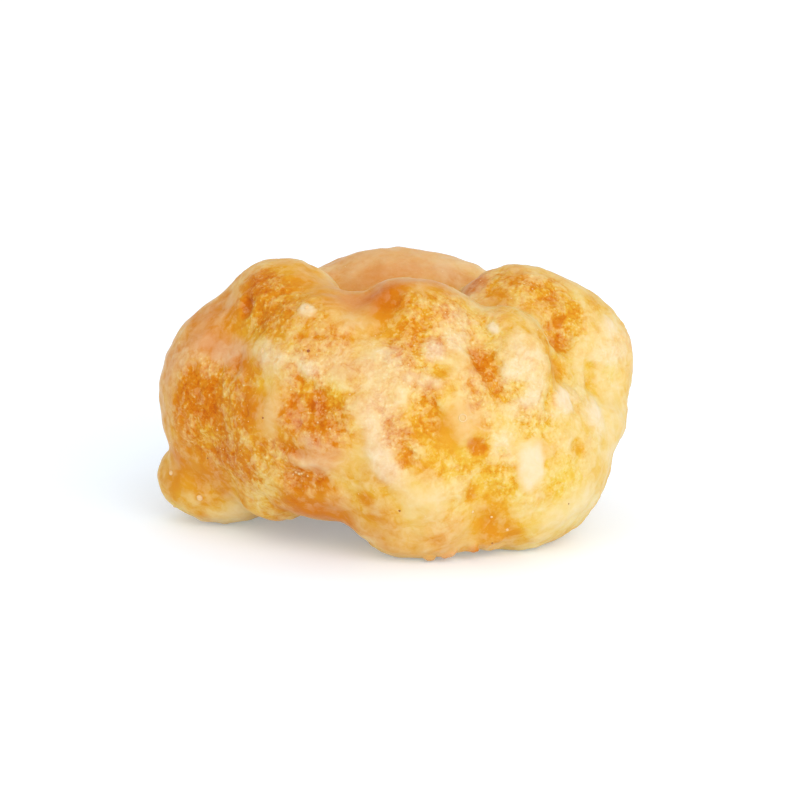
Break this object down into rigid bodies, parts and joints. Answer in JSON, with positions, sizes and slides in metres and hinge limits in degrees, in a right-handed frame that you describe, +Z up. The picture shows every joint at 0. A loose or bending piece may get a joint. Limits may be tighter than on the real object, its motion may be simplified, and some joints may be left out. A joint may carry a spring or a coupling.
{
  "type": "cruller doughnut",
  "caption": "Glazed ring cruller: a ring of fried dough puffed into rounded lobes with valleys between them, round a small central hole.",
  "frame": {"origin": "on the surface that the ring rests on, under the middle of its outline", "axes": "+Z up through the hole, -Y towards the side that is looked at most, +X to that viewer's right"},
  "size_m": [0.0851, 0.077, 0.0486],
  "materials": {
    "glazed_crust": "satin"
  },
  "bodies": {
    "root": {"cruller": "glazed_crust"}
  },
  "joints": []
}
